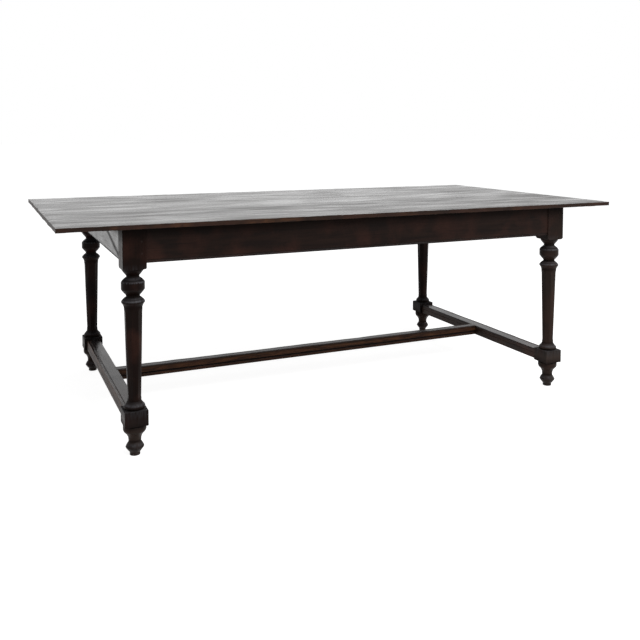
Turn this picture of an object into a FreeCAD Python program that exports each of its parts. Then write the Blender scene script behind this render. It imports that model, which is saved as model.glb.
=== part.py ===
import FreeCAD, Part
import math
import os
from types import SimpleNamespace

import Sketcher

# Farmhouse table: a thin plank top on four turned legs, with an apron and an H-shaped stretcher.
# Millimetres. X runs along the table, Y away from its front, Z up. The origin is on the floor,
# below the middle of the top.

# Driving sizes
SIZES = {
    # The whole table
    "table_length": 2180,
    "table_width": 1120,
    "table_height": 756.5,
    "end_overhang": 210,
    "side_overhang": 36,
    # Top boards, tongued and grooved along their edges
    "top_thickness": 18,
    "board_ease": 1,
    "tongue_thickness": 5,
    "tongue_length": 7,
    "tongue_gap": 0.3,
    # Legs: a square post, turned between its two blocks and below them
    "leg_square": 76,
    "post_drop": 19,
    "post_chamfer": 6,
    "cone_dia": 69.4,
    "cone_rim_height": 6,
    "cone_height": 15.5,
    "upper_neck_dia": 42,
    "upper_neck_height": 5.5,
    "ball_dia": 76,
    "ball_height": 57.5,
    "ball_top_slope": 14.5,
    "ball_foot_slope": 18,
    "lower_neck_dia": 44.6,
    "lower_neck_height": 6.5,
    "collar_dia": 75.6,
    "collar_cove_height": 16,
    "collar_band_height": 4.5,
    "collar_height": 34,
    "shaft_top_flats": 54.6,
    "shaft_foot_flats": 41,
    "facet_stop_length": 12,
    "facet_stop_rise": 3,
    "facet_stop_gap": 2,
    "ring_cone_height": 11,
    "ring_dia": 69.2,
    "ring_height": 12,
    "groove_height": 3,
    "groove_dia": 63,
    "lower_block_height": 49.5,
    "lower_block_chamfer": 3,
    "cup_dia": 75,
    "cup_rim_height": 15.5,
    "cup_height": 36.5,
    "foot_neck_top_dia": 44,
    "foot_neck_dia": 40.6,
    "foot_neck_height": 18,
    "foot_ring_dia": 60,
    "foot_ring_height": 33,
    "foot_tip_dia": 35,
    "foot_tip_height": 11,
    # Apron rails
    "apron_height": 112,
    "apron_thickness": 26,
    "apron_setback": 3,
    "bead_height": 8,
    "bead_round": 3,
    "quirk_height": 2.5,
    "quirk_depth": 2.5,
    "apron_tenon_thickness": 10,
    "apron_tenon_length": 50,
    "tenon_top_shoulder": 22,
    "tenon_foot_shoulder": 12,
    # Stretcher rails
    "stretcher_top": 142.5,
    "stretcher_height": 38,
    "stretcher_width": 42,
    "stretcher_round": 4,
    "stretcher_top_bead": 9,
    "stretcher_foot_bead": 7,
    "stretcher_groove_height": 4,
    "stretcher_groove_depth": 2.5,
    "stretcher_tenon_thickness": 12,
    "stretcher_tenon_width": 26,
    "stretcher_tenon_length": 40,
    "cross_tenon_length": 28,
    # Fit of the tenons, and the pegs that lock them
    "joint_gap": 0.2,
    "mortise_end_gap": 1,
    "peg_dia": 8,
    "peg_length": 42,
    "peg_inset": 16,
    "peg_proud": 0.6,
    "peg_gap": 0.15,
    "cross_peg_length": 30,
    # Cross bearers under the boards, let into the long aprons
    "bearer_spacing": 560,
    "bearer_width": 60,
    "bearer_height": 32,
    "bearer_ease": 4,
    "bearer_housing_depth": 12,
    # Buttons that hold the top down, with a tongue in a groove inside the apron
    "button_groove_drop": 12,
    "button_groove_height": 8,
    "button_groove_depth": 10,
    "button_length": 38,
    "button_width": 30,
    "button_height": 26,
    "button_ease": 4,
    "button_tongue_length": 8,
    "button_tongue_thickness": 7,
    "button_shoulder_gap": 0.8,
    "button_end_margin": 60,
    # How far a cut runs past the wood that it leaves
    "overrun": 5,
}

# Each board's share of the table's width, from the front to the back
BOARD_WIDTH_SHARES = (0.21, 0.195, 0.2, 0.19, 0.205)
# Where the two pegs of an apron tenon stand in its height
PEG_HEIGHT_SHARES = (0.25, 0.75)
BUTTONS_ACROSS = 5
BUTTONS_ALONG = 3
FACETS = 8
SIDES = (-1, 1)
# The middle of a quarter round stands in from its corner by this share of its radius
QUARTER_ROUND_SHARE = 1 - math.sqrt(0.5)
# Turned a little larger than half of the square or of the flats, so that the corners stay sharp
POST_CORNER_SHARE = 1.43
SHAFT_CORNER_SHARE = 1.1
# Points of the turned mouldings, from the lowest: shares of the way out and of the way up
FOOT_RING_SHARES = ((0, 0), (1, 0.52))
CUP_SHARES = ((0, 0), (0.25, 0.38), (0.83, 0.79), (1, 1))
RING_SHARES = ((0, 0), (1, 0.33), (0, 1))
COVE_SHARES = ((0, 0), (0.3, 0.47), (1, 1))
COLLAR_TOP_SHARES = ((1, 0), (0.6, 0.55), (0, 1))

# How a thing made along +Z, or a button made with its tongue along -X, is turned: an axis, an angle
TURNS = {
    "+Z": ((1, 0, 0), 0),
    "+X": ((0, 1, 0), 90),
    "-X": ((0, 1, 0), -90),
    "+Y": ((1, 0, 0), -90),
    "-Y": ((1, 0, 0), 90),
    "tongue left": ((0, 0, 1), 0),
    "tongue right": ((0, 0, 1), 180),
    "tongue front": ((0, 0, 1), 90),
    "tongue back": ((0, 0, 1), -90),
}


class Size:
    """A length, with its value and the formula that ties it to the sheet of sizes."""

    def __init__(self, value, formula):
        self.value = value
        self.formula = formula

    @staticmethod
    def of(number):
        return number if isinstance(number, Size) else Size(number, repr(number))

    def combine(self, sign, other, value):
        return Size(value, f"({self.formula} {sign} {other.formula})")

    def __add__(self, other):
        other = Size.of(other)
        return self.combine("+", other, self.value + other.value)

    def __sub__(self, other):
        other = Size.of(other)
        return self.combine("-", other, self.value - other.value)

    def __mul__(self, factor):
        factor = Size.of(factor)
        return self.combine("*", factor, self.value * factor.value)

    def __truediv__(self, divisor):
        divisor = Size.of(divisor)
        return self.combine("/", divisor, self.value / divisor.value)

    def __neg__(self):
        return self * -1


def between(start, end, share):
    """The place at a share of the way from start to end."""
    return start + (end - start) * share


def make_sheet():
    """Put every driving size in the document's sheet, one named cell each."""
    sheet = doc.addObject("Spreadsheet::Sheet", "sizes")
    for row, (name, value) in enumerate(SIZES.items(), start=1):
        sheet.set(f"A{row}", name)
        sheet.set(f"B{row}", str(value))
        sheet.setAlias(f"B{row}", name)
    doc.recompute()
    return SimpleNamespace(**{name: Size(value, f"sizes.{name}") for name, value in SIZES.items()})


doc = FreeCAD.newDocument("FarmhouseTable")
size = make_sheet()
ZERO = Size(0, "0")

# Places that several pieces share
leg_half = size.leg_square / 2
leg_x = size.table_length / 2 - size.end_overhang - leg_half
leg_y = size.table_width / 2 - size.side_overhang - leg_half
top_underside = size.table_height - size.top_thickness
apron_bottom = top_underside - size.apron_height
apron_face_x = leg_x + leg_half - size.apron_setback
apron_face_y = leg_y + leg_half - size.apron_setback
long_apron_inside = apron_face_y - size.apron_thickness
end_apron_inside = apron_face_x - size.apron_thickness
apron_tenon_face = (size.apron_thickness - size.apron_tenon_thickness) / 2
apron_tenon_height = size.apron_height - size.tenon_top_shoulder - size.tenon_foot_shoulder
peg_heights = [size.tenon_foot_shoulder + apron_tenon_height * share for share in PEG_HEIGHT_SHARES]
peg_hole_radius = size.peg_dia / 2 + size.peg_gap
stretcher_bottom = size.stretcher_top - size.stretcher_height
stretcher_middle = size.stretcher_top - size.stretcher_height / 2
stretcher_half = size.stretcher_width / 2
cross_peg_x = leg_x - stretcher_half + size.cross_tenon_length / 2
bearer_x = size.bearer_spacing / 2


# Ways of making things

def bind(item, **lengths):
    """Tie an object's properties to sizes."""
    for name, length in lengths.items():
        item.setExpression(name, length.formula)


def place(item, x, y, z, turn="+Z"):
    """Put an object at a place worked out from the sizes, turned one of the named ways."""
    axis, angle = TURNS[turn]
    item.Placement = FreeCAD.Placement(FreeCAD.Vector(), FreeCAD.Rotation(FreeCAD.Vector(*axis), angle))
    for letter, length in zip("xyz", (x, y, z)):
        item.setExpression(f"Placement.Base.{letter}", length.formula)


def new_body(label, x=ZERO, y=ZERO, z=ZERO):
    body = doc.addObject("PartDesign::Body", label)
    body.Label = label
    place(body, x, y, z)
    return body


def sketch_on(body, role, name):
    """A sketch on one of the body's own origin planes."""
    plane = next(item for item in body.Origin.OriginFeatures if item.Role == role)
    sketch = body.newObject("Sketcher::SketchObject", name)
    sketch.AttachmentSupport = (plane, [""])
    sketch.MapMode = "FlatFace"
    return sketch


def pin_point(geometry, end, across, up):
    """Constraints that hold a point at its distances from the origin, each with the size it follows."""
    pinned = []
    for kind, axis, length in (("DistanceX", -2, across), ("DistanceY", -1, up)):
        if length.value == 0:
            pinned.append((Sketcher.Constraint("PointOnObject", geometry, end, axis), None))
        else:
            pinned.append((Sketcher.Constraint(kind, -1, 1, geometry, end, length.value), length))
    return pinned


def draw_outline(sketch, corners):
    """Draw a closed outline and tie each of its corners to the sizes.

    A corner is (across, up), reached by a straight line, or (across, up, through across,
    through up), reached by an arc through that middle point.
    """
    points = [[FreeCAD.Vector(corner[i].value, corner[i + 1].value, 0) for i in range(0, len(corner), 2)]
              for corner in corners]
    first = sketch.GeometryCount
    ends = []
    for number, (finish, *through) in enumerate(points):
        start = points[number - 1][0]
        edge = Part.Arc(start, through[0], finish) if through else Part.LineSegment(start, finish)
        sketch.addGeometry(edge, False)
        drawn_from_start = sketch.getPoint(first + number, 1).isEqual(start, 1e-6)
        ends.append((1, 2) if drawn_from_start else (2, 1))
    constraints = []
    for number, corner in enumerate(corners):
        following = (number + 1) % len(corners)
        join = Sketcher.Constraint("Coincident", first + number, ends[number][1],
                                   first + following, ends[following][0])
        constraints.append((join, None))
        constraints += pin_point(first + number, ends[number][1], *corner[:2])
    for number, corner in enumerate(corners):
        if len(corner) > 2:
            middle = sketch.addGeometry(Part.Point(points[number][1]), True)
            constraints.append((Sketcher.Constraint("PointOnObject", middle, 1, first + number), None))
            constraints += pin_point(middle, 1, *corner[2:])
    held = sketch.ConstraintCount
    sketch.addConstraint([constraint for constraint, length in constraints])
    for index, (constraint, length) in enumerate(constraints, start=held):
        if length is not None:
            sketch.setExpression(f"Constraints[{index}]", length.formula)


def rectangle(left, bottom, right, top):
    return [(left, bottom), (right, bottom), (right, top), (left, top)]


def extrude(body, kind, role, name, length, *outlines):
    """Pad or pocket outlines equally to both sides of one of the body's planes."""
    sketch = sketch_on(body, role, name + "Outline")
    for corners in outlines:
        draw_outline(sketch, corners)
    feature = body.newObject("PartDesign::" + kind, name)
    feature.Profile = sketch
    feature.SideType = "Symmetric"
    bind(feature, Length=length)
    return feature


def cut_box(body, name, x, y, z):
    """Cut a box out of a body; x, y and z are each a pair of ends, in either order."""
    spans = [sorted(pair, key=lambda length: length.value) for pair in (x, y, z)]
    feature = body.newObject("PartDesign::SubtractiveBox", name)
    for letter, (low, high) in zip(("Length", "Width", "Height"), spans):
        feature.setExpression(letter, (high - low).formula)
    place(feature, *[low for low, high in spans])


def bore_peg_hole(body, turn, x, y, z, depth):
    """Cut the hole for a peg, eight-sided like the peg, from a start point in a direction."""
    hole = body.newObject("PartDesign::SubtractivePrism", "PegHole")
    hole.Polygon = FACETS
    bind(hole, Circumradius=peg_hole_radius, Height=depth)
    place(hole, x, y, z, turn)


def group(label, model, places):
    """One sub-part made of like separate solids: copies of a model, each at its own place."""
    copies = []
    for number, spot in enumerate(places, start=1):
        copy = doc.addObject("App::Link", f"{label}_{number}")
        copy.LinkedObject = model
        place(copy, *spot)
        copies.append(copy)
    compound = doc.addObject("Part::Compound", label)
    compound.Label = label
    compound.Links = copies
    return compound


# Top boards

def board_outline(width, has_groove, has_tongue):
    """A board's section, from its front edge to its back edge and up from its underside."""
    middle = size.top_thickness / 2
    tongue = size.tongue_thickness / 2
    groove = tongue + size.tongue_gap
    groove_depth = size.tongue_length + size.tongue_gap
    shoulder = size.top_thickness - size.board_ease
    corners = [(ZERO, ZERO)]
    if has_groove:
        corners += [(ZERO, middle - groove), (groove_depth, middle - groove),
                    (groove_depth, middle + groove), (ZERO, middle + groove)]
    corners += [(ZERO, shoulder), (size.board_ease, size.top_thickness),
                (width - size.board_ease, size.top_thickness), (width, shoulder)]
    if has_tongue:
        corners += [(width, middle + tongue), (width + size.tongue_length, middle + tongue),
                    (width + size.tongue_length, middle - tongue), (width, middle - tongue)]
    corners.append((width, ZERO))
    return corners


def make_boards():
    """The top boards, side by side from the front to the back."""
    front = -size.table_width / 2
    boards = []
    for number, share in enumerate(BOARD_WIDTH_SHARES, start=1):
        width = size.table_width * share
        board = new_body(f"top_board_{number}", y=front, z=top_underside)
        outline = board_outline(width, number > 1, number < len(BOARD_WIDTH_SHARES))
        extrude(board, "Pad", "YZ_Plane", "Plank", size.table_length, outline)
        boards.append(board)
        front = front + width
    return boards


# Legs

def moulding(inner, outer, base, top, shares):
    """Points of a turned moulding between two radii and two levels."""
    return [(between(inner, outer, out), between(base, top, up)) for out, up in shares]


def foot_corners():
    """The foot's outline from the floor to the underside of the lower block, and that level."""
    tip = size.foot_tip_dia / 2
    ring = size.foot_ring_dia / 2
    cup = size.cup_dia / 2
    neck_base = size.foot_tip_height + size.foot_ring_height
    cup_base = neck_base + size.foot_neck_height
    cup_top = cup_base + size.cup_height
    block_base = cup_top + size.groove_height
    corners = [(ZERO, ZERO), (tip, ZERO)]
    corners += moulding(tip, ring, size.foot_tip_height, neck_base, FOOT_RING_SHARES)
    corners.append((size.foot_neck_dia / 2, neck_base))
    neck_top = size.foot_neck_top_dia / 2
    corners += moulding(neck_top, cup, cup_base, cup_top - size.cup_rim_height, CUP_SHARES)
    corners += [(cup, cup_top), (size.groove_dia / 2, block_base)]
    return corners, block_base


def lower_block_corners(base):
    """The lower block's outline, with its corners taken off, and the top of the groove above it."""
    corner = leg_half * POST_CORNER_SHARE
    chamfer = size.lower_block_chamfer
    top = base + size.lower_block_height
    corners = [
        (corner - chamfer, base),
        (corner, base + chamfer),
        (corner, top - chamfer),
        (corner - chamfer, top),
        (size.groove_dia / 2, top),
    ]
    return corners, top + size.groove_height


def shaft_corners(base):
    """The outline of the ring, the tapered shaft and the collar, and the levels of the shaft's ends."""
    ring_top = base + size.ring_height
    foot = ring_top + size.ring_cone_height
    turned_above = (size.cone_rim_height + size.cone_height + size.upper_neck_height + size.ball_height
                    + size.lower_neck_height + size.collar_height)
    head = apron_bottom - size.post_drop - turned_above
    nose = head + size.collar_cove_height
    band_top = nose + size.collar_band_height
    top = head + size.collar_height
    collar = size.collar_dia / 2
    corners = moulding(size.groove_dia / 2, size.ring_dia / 2, base, ring_top, RING_SHARES)
    corners.append((size.shaft_foot_flats / 2 * SHAFT_CORNER_SHARE, foot))
    corners += moulding(size.shaft_top_flats / 2 * SHAFT_CORNER_SHARE, collar, head, nose, COVE_SHARES)
    corners += moulding(size.lower_neck_dia / 2, collar, band_top, top, COLLAR_TOP_SHARES)
    return corners, foot, head, top


def head_corners(base):
    """The outline of the ball, the cone under the upper block, and the block up to its top."""
    ball = size.ball_dia / 2
    upper_neck = size.upper_neck_dia / 2
    cone = size.cone_dia / 2
    corner = leg_half * POST_CORNER_SHARE
    ball_base = base + size.lower_neck_height
    ball_top = ball_base + size.ball_height
    cone_base = ball_top + size.upper_neck_height
    cone_top = cone_base + size.cone_height
    post_base = cone_top + size.cone_rim_height
    return [
        (size.lower_neck_dia / 2, ball_base),
        (ball, ball_base + size.ball_foot_slope),
        (ball, ball_top - size.ball_top_slope),
        (upper_neck, ball_top),
        (upper_neck, cone_base),
        (cone, cone_top),
        (cone, post_base),
        (corner - size.post_chamfer, post_base),
        (corner, post_base + size.post_chamfer),
        (corner, top_underside),
        (ZERO, top_underside),
    ]


def cut_facets(leg, foot, head):
    """Cut the shaft's tapered flats, each run out in a sloped stop over the ring and under the collar."""
    foot_face = size.shaft_foot_flats / 2
    head_face = size.shaft_top_flats / 2
    low = foot + size.facet_stop_gap
    high = head - size.facet_stop_gap
    outside = leg_half + size.overrun
    outline = [
        (foot_face + size.facet_stop_rise, low),
        (foot_face, low + size.facet_stop_length),
        (head_face, high - size.facet_stop_length),
        (head_face + size.facet_stop_rise, high),
        (outside, high),
        (outside, low),
    ]
    facet = extrude(leg, "Pocket", "XZ_Plane", "Facet", size.shaft_top_flats, outline)
    facets = leg.newObject("PartDesign::PolarPattern", "Facets")
    facets.Originals = [facet]
    facets.Axis = (facet.Profile[0], ["V_Axis"])
    facets.Angle = 360
    facets.Occurrences = FACETS
    leg.Tip = facets


def cut_leg_joints(leg, side_x, side_y):
    """The mortises for both aprons and the end stretcher, on the sides towards the table's middle."""
    reach = leg_half + size.overrun
    bottom = size.apron_tenon_length + size.mortise_end_gap - leg_half
    near = leg_half - size.apron_setback - apron_tenon_face + size.joint_gap
    far = near - size.apron_tenon_thickness - size.joint_gap * 2
    low = apron_bottom + size.tenon_foot_shoulder - size.joint_gap
    levels = (low, low + apron_tenon_height + size.joint_gap * 2)
    cut_box(leg, "LongApronMortise",
            (-reach * side_x, bottom * side_x), (near * side_y, far * side_y), levels)
    cut_box(leg, "EndApronMortise",
            (near * side_x, far * side_x), (-reach * side_y, bottom * side_y), levels)
    half = size.stretcher_tenon_thickness / 2 + size.joint_gap
    tall = size.stretcher_tenon_width / 2 + size.joint_gap
    bottom = size.stretcher_tenon_length + size.mortise_end_gap - leg_half
    cut_box(leg, "StretcherMortise", (-half, half), (-reach * side_y, bottom * side_y),
            (stretcher_middle - tall, stretcher_middle + tall))


def bore_leg_pegs(leg, side_x, side_y):
    """The peg holes, cut from the leg's two outer faces across the tenons."""
    depth = size.peg_length + size.overrun
    inset = -leg_half + size.peg_inset
    start = leg_half + size.overrun
    toward_x = "-X" if side_x > 0 else "+X"
    toward_y = "-Y" if side_y > 0 else "+Y"
    for height in peg_heights:
        bore_peg_hole(leg, toward_y, inset * side_x, start * side_y, apron_bottom + height, depth)
        bore_peg_hole(leg, toward_x, start * side_x, inset * side_y, apron_bottom + height, depth)
    bore_peg_hole(leg, toward_x, start * side_x, inset * side_y, stretcher_middle, depth)


def make_leg(label, side_x, side_y):
    """One leg, turned and cut from a square post."""
    leg = new_body(label, leg_x * side_x, leg_y * side_y)
    foot_outline, block_base = foot_corners()
    block_outline, ring_base = lower_block_corners(block_base)
    shaft_outline, shaft_foot, shaft_head, neck_base = shaft_corners(ring_base)
    outline = sketch_on(leg, "XZ_Plane", "TurnedOutline")
    draw_outline(outline, foot_outline + block_outline + shaft_outline + head_corners(neck_base))
    turned = leg.newObject("PartDesign::Revolution", "Turned")
    turned.Profile = outline
    turned.ReferenceAxis = (outline, ["V_Axis"])
    turned.Angle = 360
    outside = size.leg_square
    extrude(leg, "Pocket", "XY_Plane", "SquareFaces", size.table_height * 2,
            rectangle(-outside, -outside, outside, outside),
            rectangle(-leg_half, -leg_half, leg_half, leg_half))
    cut_facets(leg, shaft_foot, shaft_head)
    cut_leg_joints(leg, side_x, side_y)
    bore_leg_pegs(leg, side_x, side_y)
    return leg


# Rails

def apron_outline(side):
    """An apron's section: a bead and its quirk along the lower outer edge, a button groove inside."""
    bead = size.bead_height
    rounded = size.bead_round * QUARTER_ROUND_SHARE
    groove_top = size.apron_height - size.button_groove_drop
    groove_foot = groove_top - size.button_groove_height
    inside = size.apron_thickness
    section = [
        (size.bead_round, ZERO),
        (ZERO, size.bead_round, rounded, rounded),
        (ZERO, bead),
        (size.quirk_depth, bead),
        (size.quirk_depth, bead + size.quirk_height),
        (ZERO, bead + size.quirk_height),
        (ZERO, size.apron_height),
        (inside, size.apron_height),
        (inside, groove_top),
        (inside - size.button_groove_depth, groove_top),
        (inside - size.button_groove_depth, groove_foot),
        (inside, groove_foot),
        (inside, ZERO),
    ]
    # Depths count inwards from the outer face, so they run against the side the rail is on
    return [tuple(length * -side if index % 2 == 0 else length for index, length in enumerate(corner))
            for corner in section]


def make_apron(label, along, side):
    """An apron rail along X or Y with its tenons, and housings for the bearers in the long ones."""
    if along == "X":
        role, length = "YZ_Plane", (leg_x - leg_half) * 2
        apron = new_body(label, y=apron_face_y * side, z=apron_bottom)
        inwards = "-Y" if side > 0 else "+Y"
    else:
        role, length = "XZ_Plane", (leg_y - leg_half) * 2
        apron = new_body(label, x=apron_face_x * side, z=apron_bottom)
        inwards = "-X" if side > 0 else "+X"
    extrude(apron, "Pad", role, "Rail", length, apron_outline(side))
    tenon = rectangle(apron_tenon_face * -side, size.tenon_foot_shoulder,
                      (apron_tenon_face + size.apron_tenon_thickness) * -side,
                      size.apron_height - size.tenon_top_shoulder)
    extrude(apron, "Pad", role, "Tenons", length + size.apron_tenon_length * 2, tenon)
    outside = size.overrun * side
    for end in SIDES:
        peg = (length / 2 + size.peg_inset) * end
        for height in peg_heights:
            x, y = (peg, outside) if along == "X" else (outside, peg)
            bore_peg_hole(apron, inwards, x, y, height, size.apron_thickness + size.overrun)
        if along == "X":
            half = size.bearer_width / 2 + size.joint_gap
            middle = bearer_x * end
            housing = size.apron_thickness - size.bearer_housing_depth
            seat = size.apron_height - size.bearer_height - size.joint_gap
            cut_box(apron, "BearerHousing", (middle - half, middle + half),
                    (housing * -side, (size.apron_thickness + size.overrun) * -side),
                    (seat, size.apron_height + size.overrun))
    return apron


def stretcher_outline():
    """A stretcher's section: rounded upper edges, and a groove near the top and the foot of each side."""
    foot_groove = size.stretcher_foot_bead
    top_groove = size.stretcher_height - size.stretcher_top_bead - size.stretcher_groove_height
    groove_face = stretcher_half - size.stretcher_groove_depth
    shoulder = size.stretcher_height - size.stretcher_round
    rounded = size.stretcher_round * QUARTER_ROUND_SHARE
    right = [(stretcher_half, ZERO)]
    for level in (foot_groove, top_groove):
        right += [(stretcher_half, level), (groove_face, level),
                  (groove_face, level + size.stretcher_groove_height),
                  (stretcher_half, level + size.stretcher_groove_height)]
    right.append((stretcher_half, shoulder))
    left = [(-across, up) for across, up in reversed(right)]
    top_right = (stretcher_half - size.stretcher_round, size.stretcher_height,
                 stretcher_half - rounded, size.stretcher_height - rounded)
    top_left = (-stretcher_half + size.stretcher_round, size.stretcher_height)
    round_left = (-stretcher_half, shoulder, -stretcher_half + rounded, size.stretcher_height - rounded)
    return right + [top_right, top_left, round_left] + left[1:]


def make_end_stretcher(label, side):
    """A stretcher across one end, tenoned into the legs and mortised for the long stretcher."""
    rail = new_body(label, x=leg_x * side, z=stretcher_bottom)
    length = (leg_y - leg_half) * 2
    extrude(rail, "Pad", "XZ_Plane", "Rail", length, stretcher_outline())
    half = size.stretcher_tenon_thickness / 2
    middle = size.stretcher_height / 2
    tall = size.stretcher_tenon_width / 2
    extrude(rail, "Pad", "XZ_Plane", "Tenons", length + size.stretcher_tenon_length * 2,
            rectangle(-half, middle - tall, half, middle + tall))
    inner = stretcher_half + size.overrun
    bottom = size.cross_tenon_length + size.mortise_end_gap - stretcher_half
    wide = tall + size.joint_gap
    thick = half + size.joint_gap
    cut_box(rail, "CrossMortise",
            (-inner * side, bottom * side), (-wide, wide), (middle - thick, middle + thick))
    for end in SIDES:
        bore_peg_hole(rail, "+X", -stretcher_half, (length / 2 + size.peg_inset) * end, middle,
                      size.stretcher_width)
    bore_peg_hole(rail, "+Z", (cross_peg_x - leg_x) * side, ZERO, -size.overrun,
                  size.cross_peg_length + size.overrun)
    return rail


def make_long_stretcher(label):
    """The long stretcher, tenoned into the sides of the two end stretchers."""
    rail = new_body(label, z=stretcher_bottom)
    length = (leg_x - stretcher_half) * 2
    extrude(rail, "Pad", "YZ_Plane", "Rail", length, stretcher_outline())
    half = size.stretcher_tenon_thickness / 2
    middle = size.stretcher_height / 2
    wide = size.stretcher_tenon_width / 2
    extrude(rail, "Pad", "YZ_Plane", "Tenons", length + size.cross_tenon_length * 2,
            rectangle(-wide, middle - half, wide, middle + half))
    for end in SIDES:
        bore_peg_hole(rail, "+Z", cross_peg_x * end, ZERO, ZERO, size.stretcher_height)
    return rail


# Bearers, buttons and pegs

def make_bearer(label, side):
    """A cross bearer with chamfered lower edges, let into both long aprons."""
    bearer = new_body(label, x=bearer_x * side, z=top_underside - size.bearer_height)
    half = size.bearer_width / 2
    ease = size.bearer_ease
    reach = long_apron_inside + size.bearer_housing_depth - size.joint_gap
    extrude(bearer, "Pad", "XZ_Plane", "Rail", reach * 2,
            [(-half + ease, ZERO), (half - ease, ZERO), (half, ease), (half, size.bearer_height),
             (-half, size.bearer_height), (-half, ease)])
    return bearer


def make_button():
    """One button: its tongue points along -X from the apron's inner face, its top is against the boards."""
    button = new_body("button_model")
    shoulder = size.button_shoulder_gap
    far = shoulder + size.button_length
    foot = -size.button_height
    tongue_top = -size.button_groove_drop
    tongue_foot = tongue_top - size.button_tongue_thickness
    tip = -size.button_tongue_length
    extrude(button, "Pad", "XZ_Plane", "Block", size.button_width,
            [(tip, tongue_foot), (shoulder, tongue_foot), (shoulder, foot), (far - size.button_ease, foot),
             (far, foot + size.button_ease), (far, ZERO), (shoulder, ZERO), (shoulder, tongue_top),
             (tip, tongue_top)])
    return button


def make_buttons():
    """Every button, in a group for each apron."""
    button = make_button()
    last = leg_y - leg_half - size.button_end_margin
    across = [between(-last, last, step / (BUTTONS_ACROSS - 1)) for step in range(BUTTONS_ACROSS)]
    along = [size.bearer_spacing * (step - (BUTTONS_ALONG - 1) / 2) for step in range(BUTTONS_ALONG)]
    spots = {
        "left": [(-end_apron_inside, y) for y in across],
        "right": [(end_apron_inside, y) for y in across],
        "front": [(x, -long_apron_inside) for x in along],
        "back": [(x, long_apron_inside) for x in along],
    }
    return [group(f"buttons_{side}", button, [(x, y, top_underside, f"tongue {side}") for x, y in places])
            for side, places in spots.items()]


def make_peg(label, length):
    """A peg riven to eight sides."""
    peg = doc.addObject("Part::Prism", label)
    peg.Polygon = FACETS
    bind(peg, Circumradius=size.peg_dia / 2, Height=length)
    return peg


def make_pegs():
    """The pegs: from the legs' outer faces inwards, and up into the two ends of the long stretcher."""
    leg_peg = make_peg("leg_peg_model", size.peg_length)
    cross_peg = make_peg("cross_peg_model", size.cross_peg_length)
    outer_x = leg_x + leg_half + size.peg_proud
    outer_y = leg_y + leg_half + size.peg_proud
    inset_x = leg_x - leg_half + size.peg_inset
    inset_y = leg_y - leg_half + size.peg_inset
    apron_spots = []
    stretcher_spots = []
    for side_x in SIDES:
        toward_x = "-X" if side_x > 0 else "+X"
        for side_y in SIDES:
            toward_y = "-Y" if side_y > 0 else "+Y"
            for height in peg_heights:
                level = apron_bottom + height
                apron_spots.append((inset_x * side_x, outer_y * side_y, level, toward_y))
                apron_spots.append((outer_x * side_x, inset_y * side_y, level, toward_x))
            stretcher_spots.append((outer_x * side_x, inset_y * side_y, stretcher_middle, toward_x))
    cross_spots = [(cross_peg_x * side, ZERO, stretcher_bottom - size.peg_proud) for side in SIDES]
    return [group("apron_pegs", leg_peg, apron_spots), group("stretcher_pegs", leg_peg, stretcher_spots),
            group("cross_pegs", cross_peg, cross_spots)]


parts = make_boards()
parts += [make_leg(f"leg_{depth}_{end}", side_x, side_y)
          for end, side_x in (("left", -1), ("right", 1)) for depth, side_y in (("front", -1), ("back", 1))]
parts += [make_apron("apron_front", "X", -1), make_apron("apron_back", "X", 1),
          make_apron("apron_left", "Y", -1), make_apron("apron_right", "Y", 1)]
parts += [make_end_stretcher("stretcher_left", -1), make_end_stretcher("stretcher_right", 1),
          make_long_stretcher("stretcher_long")]
parts += [make_bearer("bearer_left", -1), make_bearer("bearer_right", 1)]
parts += make_buttons()
parts += make_pegs()

doc.recompute()
for item in doc.Objects:
    if "Invalid" in item.State or "Error" in item.State:
        raise RuntimeError(f"{item.Label} did not compute: {item.State}")
for part in parts:
    if part.Shape.isNull() or not part.Shape.isValid():
        raise RuntimeError(f"{part.Label} has no valid shape")

os.makedirs("parts", exist_ok=True)
for part in parts:
    part.Shape.exportStep(f"parts/{part.Label}.step")
    box = part.Shape.BoundBox
    print(f"{part.Label}: {len(part.Shape.Solids)} solids, {part.Shape.Volume / 1e6:.3f} litres, "
          f"x {box.XMin:.1f} to {box.XMax:.1f}, y {box.YMin:.1f} to {box.YMax:.1f}, "
          f"z {box.ZMin:.1f} to {box.ZMax:.1f}")
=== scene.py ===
import math

import bmesh
import bpy
from bpy.props import FloatProperty, FloatVectorProperty, IntProperty, PointerProperty
from mathutils import Matrix, Vector


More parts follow.
